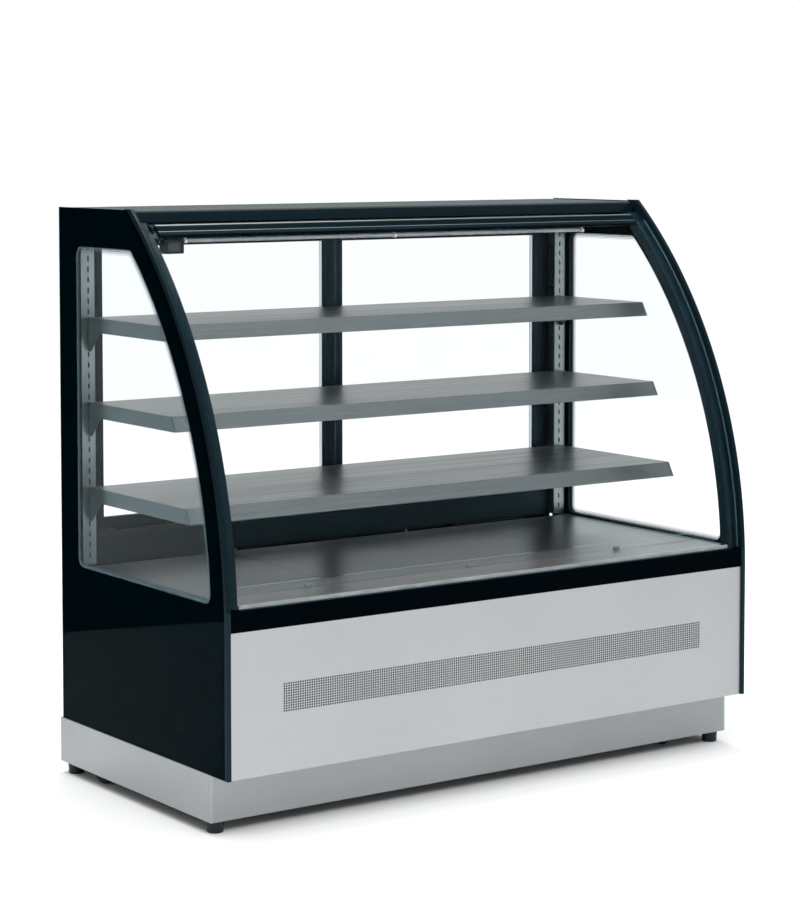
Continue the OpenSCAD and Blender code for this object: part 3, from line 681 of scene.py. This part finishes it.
def make_riser_clips():
    """Clips that hold the upstand from the front."""
    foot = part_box("deck_riser")[0]
    half, height = 0.009, 0.009
    clips = [slab((x - half, foot.y - 0.003, foot.z),
                  (x + half, foot.y - 0.0002, foot.z + height), 0.001)
             for x in (-0.45, 0.0, 0.45)]
    make_object("riser_clips", *merge(*clips), STEEL_Z, "cabinet", "stainless", 40)


def make_ledges():
    """Light profiles along the lower edge of the side windows."""
    ledge = [(0.7086, 0.4971, 0), (0.7284, 0.4971, 0), (0.7284, 0.5024, 0.0016),
             (0.7252, 0.5040, 0.0010), (0.7236, 0.5026, 0.0004), (0.7176, 0.5026, 0.0004),
             (0.7164, 0.5036, 0.0006), (0.7150, 0.5026, 0.0004), (0.7086, 0.5026, 0.0008)]
    bar = extrusion("y", rounded(ledge, 3), -0.342, 0.301)
    make_object("deck_side_profiles", *merge(bar, mirrored(bar)), LEDGE_ALU, "cabinet",
                "aluminium_light", 30)


def make_machinery():
    """Parts inside the case, seen only through gaps or with the doors open."""
    for node, mat in (("chassis_frame", BLACK_PAINT), ("base_pan", GALVANISED),
                      ("tub_insulation", FOAM), ("tub_liner", DECK_STEEL),
                      ("compressor", BLACK_PAINT), ("condenser_coil", FINS),
                      ("condenser_shroud", BLACK_PAINT), ("condenser_fan_motor", BLACK_PAINT),
                      ("evaporator_coil", FINS), ("evaporator_fan_plate", GALVANISED),
                      ("condenser_fan", BLACK_PLASTIC), ("evaporator_fan_left", BLACK_PLASTIC),
                      ("evaporator_fan_right", BLACK_PLASTIC)):
        finish_node(node, mat, 0)


# ---------------------------------------------------------------- cheeks

def window_outline(grow):
    """Side window's outline in (y, z), grown outwards."""
    r = ARC_R - WINDOW_INSET + grow
    z0, z1 = WINDOW_LOW[0] - grow, WINDOW_TOP + grow
    a0, a1 = math.asin((z0 - ARC_Z) / r), math.asin((z1 - ARC_Z) / r)
    corner = WINDOW_R + grow
    points = []
    for i in range(WINDOW_STEPS + 1):
        a = a0 + (a1 - a0) * i / WINDOW_STEPS
        at_end = i in (0, WINDOW_STEPS)
        points.append((ARC_Y - r * math.cos(a), ARC_Z + r * math.sin(a),
                       corner if at_end else 0))
    points.append((WINDOW_REAR + grow, z1, corner))
    points.append((WINDOW_REAR + grow, WINDOW_LOW[1] - grow, corner))
    return rounded(points, 8)


def walk(outline, spacing):
    """Points at even steps round a closed outline."""
    loop = outline + [outline[0]]
    total = sum((b - a).length for a, b in zip(loop, loop[1:]))
    count = max(8, round(total / spacing))
    step, out, need = total / count, [], 0.0
    for a, b in zip(loop, loop[1:]):
        length = (b - a).length
        while need < length and len(out) < count:
            out.append(a + (b - a) * need / length)
            need += step
        need -= length
    return out


def make_frit_dots(side, x):
    """Printed dots that fade from the mask into the clear window; side is 1 or -1."""
    corners = 8
    verts, faces = [], []
    for row, (inset, radius) in enumerate(DOT_ROWS):
        points = walk(window_outline(-inset), DOT_PITCH)
        if row % 2:
            loop = points + [points[0]]
            points = [(a + b) / 2 for a, b in zip(loop, loop[1:])]
        for p in points:
            base = len(verts)
            for k in range(corners):
                a = 2 * math.pi * (k + 0.5) / corners
                verts.append((x, p.x + radius * math.cos(a), p.y + radius * math.sin(a)))
            ring = list(range(base, base + corners))
            faces.append(ring if side > 0 else ring[::-1])
    name = "window_dots_right" if side > 0 else "window_dots_left"
    dots = make_object(name, verts, faces, ENAMEL, "cabinet", "black_enamel", closed=False)
    solid_sheet(dots, 0.0001)


def make_cheeks():
    """Double-glazed cheeks with their black print; the glass casts no shadow."""
    for node, edge in (("side_glass_left", 0.0012), ("side_glass_right", 0.0012),
                       ("side_inner_panes", 0.0004)):
        finish_node(node, PANE, edge).visible_shadow = False
    finish_node("side_masks", ENAMEL, 0)
    finish_node("side_spacers", SPACER, 0)
    for side in (-1, 1):
        make_frit_dots(side, side * (MASK_X - 0.0003))


# sections of the side profiles: corners (depth behind the front edge, inset, radius)
TRIM_SECTION = [(0.0016, 0, 0.0012), (0, 0.0012, 0.0008), (0, 0.0070, 0.0003),
                (0.0007, 0.0073, 0), (0.0007, 0.0081, 0), (0, 0.0084, 0.0003),
                (0, 0.0095, 0.0007), (0.0010, TRIM_W, 0.0007), (0.0238, TRIM_W, 0),
                (0.0238, 0.0066, 0), (0.0119, 0.0066, 0), (0.0119, 0, 0.0004)]
CARRIER_SECTION = [(0.0222, 0.0105, 0), (0.0220, 0.0300, 0), (0.0228, 0.0306, 0),
                   (0.0228, 0.0314, 0), (0.0220, 0.0320, 0), (0.0220, CARRIER_W, 0.0012),
                   (0.0310, CARRIER_W, 0), (0.0316, 0.0394, 0), (0.0324, 0.0394, 0),
                   (0.0330, CARRIER_W, 0), (CARRIER_DEPTH, CARRIER_W, 0.0012),
                   (CARRIER_DEPTH, 0.0066, 0), (0.0240, 0.0066, 0), (0.0240, 0.0105, 0)]
STRIP_SECTION = [(0.0012, 0, 0.001), (0, 0.0012, 0.0008), (0, 0.0090, 0.0008),
                 (0.0010, 0.0100, 0.0007), (0.0117, 0.0100, 0), (0.0117, 0, 0)]


def make_side_profiles():
    """Trim, glass carrier and edge strip down the front of both cheeks."""
    sections = {
        "cheek_trim": (TRIM_SECTION, RAIL_TOP, TOP, BLACK_ALU),
        "glass_carrier": (CARRIER_SECTION, RAIL_TOP + 0.0002, FASCIA_LOW - 0.0006, BLACK_ALU),
        "cheek_edge_strip": (STRIP_SECTION, PANE_BOTTOM, RAIL_TOP - 0.0004, STRIP_ALU),
    }
    for name, (section, low, high, mat) in sections.items():
        bar = curved_bar(rounded(section, 3), low, high)
        for side, part in (("right", bar), ("left", mirrored(bar))):
            piece = make_object(f"{name}_{side}", *part, mat, "cabinet", "black_anodised", 25)
    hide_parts("side_profiles")


# ---------------------------------------------------------------- front glass

def glass_angle(z):
    """Angle about the curve's centre at which the glass reaches height z."""
    return math.asin((z - ARC_Z) / GLASS_MID_R)


def bent_sheet(r0, r1, x0, x1):
    """Sheet between two radii and two x, bent like the front glass and as tall."""
    a0, a1 = (glass_angle(z) for z in GLASS_Z)
    rings = []
    for i in range(GLASS_STEPS + 1):
        a = a0 + (a1 - a0) * i / GLASS_STEPS
        c, s = math.cos(a), math.sin(a)
        rings.append([(x, ARC_Y - r * c, ARC_Z + r * s)
                      for x, r in ((x0, r0), (x1, r0), (x1, r1), (x0, r1))])
    return loft(rings)


def make_front_glass():
    """Bent pane, the printed border on its inner face and its polished side edges."""
    low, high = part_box("front_glass")
    pane = make_object("front_glass_pane",
                       *bent_sheet(GLASS_INNER_R, GLASS_OUTER_R, low.x, high.x),
                       FRONT_PANE, "front_glass", "clear_glass", 40)
    bevel(pane, 0.0008)
    pane.visible_shadow = False
    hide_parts("front_glass")
    band_in, margin = HALF_W - CARRIER_W + 0.0012, 0.0012
    band_r = (GLASS_INNER_R - 0.0005, GLASS_INNER_R - 0.0001)
    bands = merge(bent_sheet(*band_r, band_in, high.x - margin),
                  bent_sheet(*band_r, low.x + margin, -band_in))
    make_object("front_glass_border", *bands, BORDER, "front_glass", "black_enamel", 40)
    edge_r = (GLASS_INNER_R + 0.0008, GLASS_OUTER_R - 0.0008)
    edges = merge(bent_sheet(*edge_r, high.x - 0.0010, high.x + 0.0001),
                  bent_sheet(*edge_r, low.x - 0.0001, low.x + 0.0010))
    make_object("front_glass_edges", *edges, EDGE_GLASS, "front_glass", "clear_glass", 40)


def make_glass_hinge():
    """Ridged profile on the upper edge of the glass, with two bright lines.

    Its section is in (t along the glass, n out of it, radius) from the glass's upper end.
    """
    a, r = glass_angle(GLASS_Z[1]), GLASS_MID_R
    origin = Vector((ARC_Y - r * math.cos(a), ARC_Z + r * math.sin(a)))
    along = Vector((math.sin(a), math.cos(a)))
    out = Vector((-math.cos(a), math.sin(a)))
    top, face = 0.0190, 0.0060
    grooves, pitch = 5, 0.0027
    section = [(-0.0140, 0.0032, 0), (-0.0140, face - 0.001, 0.0006), (-0.0120, face, 0.001),
               (-0.0056, face, 0), (-0.0054, face - 0.0008, 0), (-0.0050, face - 0.0008, 0),
               (-0.0048, face, 0), (-0.0022, face, 0)]
    for k in range(grooves):
        t = -0.0006 + k * pitch
        section += [(t - 0.0010, face - 0.0010, 0), (t, face - 0.0010, 0),
                    (t + 0.0006, face, 0), (t + 0.0014, face, 0)]
    section += [(top - 0.0060, face, 0), (top - 0.0012, face, 0.0006),
                (top, face - 0.0016, 0.0006), (top, -0.0070, 0.001),
                (top - 0.0008, -0.0130, 0.003), (0.0090, -0.0138, 0.003),
                (0.0060, -0.0062, 0.001), (-0.0140, -0.0060, 0.0006), (-0.0140, -0.0032, 0),
                (0.0002, -0.0032, 0), (0.0002, 0.0032, 0)]
    outline = [origin + along * t + out * n for t, n in rounded(section, 3)]
    low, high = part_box("glass_hinge")
    bar = make_object("glass_hinge_profile", *extrusion("x", outline, low.x, high.x),
                      HINGE_ALU, "front_glass", "black_anodised", 25)
    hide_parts("glass_hinge")
    for name, t0, t1 in (("glass_hinge_bright_line", top - 0.0048, top - 0.0008),
                         ("glass_hinge_second_line", -0.0046, -0.0026)):
        strip = [origin + along * t + out * (face + n)
                 for t, n in ((t0, -0.0002), (t1, -0.0002), (t1 - 0.0004, 0.0003),
                              (t0 + 0.0003, 0.0003))]
        make_object(name, *extrusion("x", strip, low.x, high.x), LINE_ALU, "front_glass",
                    "aluminium_light")
    finish_node("hinge_brackets", HINGE_ALU, 0.0005)


# ---------------------------------------------------------------- canopy

def make_canopy():
    """Top panel with its bright lip, fascia, and the lamp under it."""
    finish_node("top_panel", TOP_GREY, 0.0010)
    finish_node("canopy_rail", FASCIA_BLACK, 0.0012)
    finish_node("lamp_housing", LAMP_STEEL, 0.0005)
    low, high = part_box("top_panel")
    make_object("top_panel_front_lip",
                *slab((low.x, low.y - 0.0004, high.z - 0.0022),
                      (high.x, low.y + 0.0016, high.z - 0.0002), 0.0003),
                LINE_ALU, "cabinet", "aluminium_light")
    make_lamp()


def make_lamp():
    """LED tube and the three holders that it hangs in."""
    a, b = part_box("led_tube")
    y, z, r = 0.064, 1.275, 0.005
    holder = 0.006
    tube = lathe([(0.0005, a.x + holder), (0.0046, a.x + holder), (r, a.x + 0.007),
                  (r, b.x - 0.007), (0.0046, b.x - holder), (0.0005, b.x - holder)],
                 (0, y, z), "x", 24)
    glow = make_object("led_tube_diffuser", *tube, TUBE_WHITE, "cabinet", "white_plastic", 40)
    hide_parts("led_tube")
    holders = []
    for x in (a.x, -holder / 2, b.x - holder):
        holders.append(slab((x, a.y, a.z), (x + holder, b.y, z + 0.002), 0.0025))
        holders.append(slab((x + 0.001, y - 0.002, z), (x + 0.005, y + 0.002, b.z), 0.0005))
    make_object("led_tube_holders", *merge(*holders), WHITE_PLASTIC, "cabinet",
                "white_plastic", 30)


# seven-segment bars: column, row and direction of each; and the bars that each digit lights
SEGMENTS = {"a": (0, 2, "h"), "g": (0, 1, "h"), "d": (0, 0, "h"), "f": (0, 1, "v"),
            "b": (1, 1, "v"), "e": (0, 0, "v"), "c": (1, 0, "v")}
DIGITS = {"0": "abcdef", "4": "bcfg"}


def make_display():
    """Readout: housing, lens and two generic digits."""
    low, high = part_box("display_unit")
    finish_node("display_unit", GREY_PLASTIC, 0.0008)
    cx, cz = (low.x + high.x) / 2, 1.261
    half_w, half_h = 0.0152, 0.0092
    lens = slab((cx - half_w, low.y + 0.0004, cz - half_h),
                (cx + half_w, low.y + 0.0013, cz + half_h), 0.002, "y")
    make_object("display_lens", *lens, LENS, "cabinet", "black_plastic", 40)
    bars = []
    w, h, t, pitch = 0.0046, 0.0050, 0.0009, 0.0090
    for n, digit in enumerate("04"):
        x0, z0 = cx - 0.0090 + n * pitch, cz - 0.0052
        for seg in DIGITS[digit]:
            i, j, kind = SEGMENTS[seg]
            if kind == "h":
                a = (x0 + t * 0.7, z0 + j * h - t / 2)
                b = (x0 + w - t * 0.7, z0 + j * h + t / 2)
            else:
                a = (x0 + i * w - t / 2, z0 + j * h + t * 0.7)
                b = (x0 + i * w + t / 2, z0 + (j + 1) * h - t * 0.7)
            bars.append(slab((a[0], low.y + 0.0001, a[1]), (b[0], low.y + 0.0005, b[1])))
    make_object("display_digits", *merge(*bars), DIGIT, "cabinet", "white_plastic")


# ---------------------------------------------------------------- shelves, frame and doors

def make_shelves():
    """Three shelves with their brackets and the slotted uprights."""
    for node in ("shelf_top", "shelf_middle", "shelf_bottom"):
        finish_node(node, SHELF_GREY, 0.0007)
    finish_node("shelf_brackets", BRACKET_GREY, 0.0004)
    finish_node("shelf_uprights", STEEL_Z, 0.0004)


def make_rear_frame():
    """Frame round the rear doorway and the tracks of its doors."""
    finish_node("rear_frame", FRAME_ALU, 0.0015)
    finish_node("door_tracks", BLACK_PLASTIC, 0.0004)


def stile(x0, x1, y0, y1, z0, z1):
    """Upright of a door: rounded edges and two shallow grooves on each face."""
    r, groove, places = 0.0010, 0.0006, (0.30, 0.62)
    section = [(x0, y0, r)]
    for f in places:
        x = x0 + (x1 - x0) * f
        section += [(x, y0, 0), (x + 0.0006, y0 + groove, 0), (x + 0.0016, y0 + groove, 0),
                    (x + 0.0022, y0, 0)]
    section += [(x1, y0, r), (x1, y1, r)]
    for f in reversed(places):
        x = x0 + (x1 - x0) * f
        section += [(x + 0.0022, y1, 0), (x + 0.0016, y1 - groove, 0),
                    (x + 0.0006, y1 - groove, 0), (x, y1, 0)]
    section += [(x0, y1, r)]
    return extrusion("z", rounded(section, 3), z0, z1)


def make_door(side):
    """Sliding door: frame on four nylon shoes, pane, glazing beads and a flush pull."""
    body = f"door_{side}"
    low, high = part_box(f"{body}_frame")
    pane_low, pane_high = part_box(f"{body}_glass")
    shoe = 0.006
    z0, z1 = low.z + shoe, high.z - shoe
    parts = [stile(low.x, pane_low.x, low.y, high.y, z0, z1),
             stile(pane_high.x, high.x, low.y, high.y, z0, z1)]
    for a, b in ((z0, pane_low.z), (pane_high.z, z1)):
        parts.append(slab((pane_low.x, low.y, a), (pane_high.x, high.y, b), 0.001))
    piece = make_object(f"{body}_frame_profile", *merge(*parts), DOOR_ALU, body,
                        "black_anodised", 25)
    mid, shoe_w, shoe_l = (low.y + high.y) / 2, 0.0032, 0.060
    shoes = [slab((x, mid - shoe_w, z), (x + shoe_l, mid + shoe_w, z + shoe), 0.0015, "y")
             for z in (low.z, z1) for x in (low.x + 0.020, high.x - 0.080)]
    make_object(f"{body}_shoes", *merge(*shoes), WHITE_PLASTIC, body, "white_plastic", 30)
    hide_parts(f"{body}_frame")
    finish_node(f"{body}_glass", DOOR_PANE, 0).visible_shadow = False
    thick = 0.0006
    beads = [slab((x, low.y + 0.0012, z0 + 0.002), (x + thick, high.y - 0.0006, z1 - 0.002))
             for x in (low.x - thick / 2, pane_high.x - thick, pane_low.x)]
    make_object(f"{body}_bead", *merge(*beads), LIGHT_ALU, body, "aluminium_light")
    # flush finger pull on the outer stile, seen from the serving side
    px = (high.x - 0.024) if side == "right" else (low.x + 0.024)
    half = 0.011
    pull = slab((px - half, high.y - 0.0004, 0.86), (px + half, high.y + 0.0012, 1.00),
                0.010, "y")
    make_object(f"{body}_pull", *pull, GREY_PLASTIC, body, "black_plastic", 30)


# ---------------------------------------------------------------- stage

def seen_directly(nodes, links):
    """One on rays that look straight or through glass at the studio, zero on the others."""
    path = nodes.new("ShaderNodeLightPath")
    seen = nodes.new("ShaderNodeMath")
    seen.operation = "MAXIMUM"
    links.new(path.outputs["Is Camera Ray"], seen.inputs[0])
    links.new(path.outputs["Is Transmission Ray"], seen.inputs[1])
    return seen.outputs[0]


def stage_sheet(name, corners, mat):
    """One flat face of the studio, given by its four corners."""
    mesh = bpy.data.meshes.new(name)
    mesh.from_pydata(corners, [], [(0, 1, 2, 3)])
    obj = bpy.data.objects.new(name, mesh)
    bpy.context.scene.collection.objects.link(obj)
    mesh.materials.append(mat)
    return obj


def make_floor():
    """Pale floor that looks white, yet throws less light up under the case."""
    half = 60.0
    m = Material("pale_floor", (0.9, 0.905, 0.91), 0.8, Specular_IOR_Level=0.0)
    m.tint(m.noise(0.4), 0.99, 1.0)
    dim = m.nodes.new("ShaderNodeMix")
    dim.data_type = "RGBA"
    dim.inputs["A"].default_value = (0.62, 0.64, 0.65, 1)
    m.links.new(m.bsdf.inputs["Base Color"].links[0].from_socket, dim.inputs["B"])
    m.links.new(seen_directly(m.nodes, m.links), dim.inputs["Factor"])
    m.links.new(dim.outputs["Result"], m.bsdf.inputs["Base Color"])
    stage_sheet("floor", [(-half, -half, 0), (half, -half, 0), (half, half, 0),
                          (-half, half, 0)], m.mat)


def make_dark_card():
    """Card beside the case that only shows as the dark reflection in the left cheek."""
    (x0, y0), (x1, y1), height = (-1.00, 2.04), (-2.90, 1.54), 2.2
    card = stage_sheet("dark_card", [(x0, y0, 0), (x1, y1, 0), (x1, y1, height),
                                     (x0, y0, height)],
                       Material("card_black", (0.004, 0.008, 0.010), 0.9).mat)
    card.visible_camera = False
    card.visible_diffuse = False
    card.visible_transmission = False
    card.visible_shadow = False


def make_world():
    """White room: full strength where it is seen, weaker as a light."""
    world = bpy.data.worlds.new("studio")
    bpy.context.scene.world = world
    world.use_nodes = True
    nodes, links = world.node_tree.nodes, world.node_tree.links
    strength = nodes.new("ShaderNodeMapRange")
    strength.inputs["To Min"].default_value = 0.55
    strength.inputs["To Max"].default_value = 1.04
    links.new(seen_directly(nodes, links), strength.inputs["Value"])
    links.new(strength.outputs["Result"], nodes["Background"].inputs["Strength"])
    nodes["Background"].inputs["Color"].default_value = (0.97, 0.985, 0.99, 1)


def make_light(name, kind, place, aim, power, **settings):
    """A light of some watts (a sun's in W/m2) that looks from one point at another."""
    data = bpy.data.lights.new(name, kind)
    data.energy = power
    for key, value in settings.items():
        setattr(data, key, value)
    obj = bpy.data.objects.new(name, data)
    obj.location = place
    turn = (Vector(aim) - Vector(place)).to_track_quat("-Z", "Y")
    obj.rotation_euler = turn.to_euler()
    bpy.context.scene.collection.objects.link(obj)
    return obj


def make_stage():
    """Pale studio: floor, dark card, white room and three soft lights."""
    make_floor()
    make_dark_card()
    make_world()
    make_light("overhead", "SUN", (0, 0, 6), (0.3, 0.8, 0), 1.9, angle=math.radians(70))
    key = make_light("key", "AREA", (-1.5, -5.0, 4.5), (0, 0, 0.6), 130, shape="RECTANGLE",
                     size=3.5, size_y=2.0)
    key.visible_glossy = False
    make_light("softbox", "AREA", (0.2, 0.9, 4.0), (0.2, 0.9, 0), 90, shape="RECTANGLE",
               size=2.4, size_y=1.8)


# ---------------------------------------------------------------- the whole case

bpy.context.scene.view_settings.view_transform = "Standard"
make_plinth()
make_feet()
make_castors()
make_front_panel()
make_front_rail()
make_rear_panel()
make_controls()
make_deck()
make_machinery()
make_cheeks()
make_side_profiles()
make_front_glass()
make_glass_hinge()
make_canopy()
make_display()
make_shelves()
make_rear_frame()
make_door("left")
make_door("right")
make_stage()
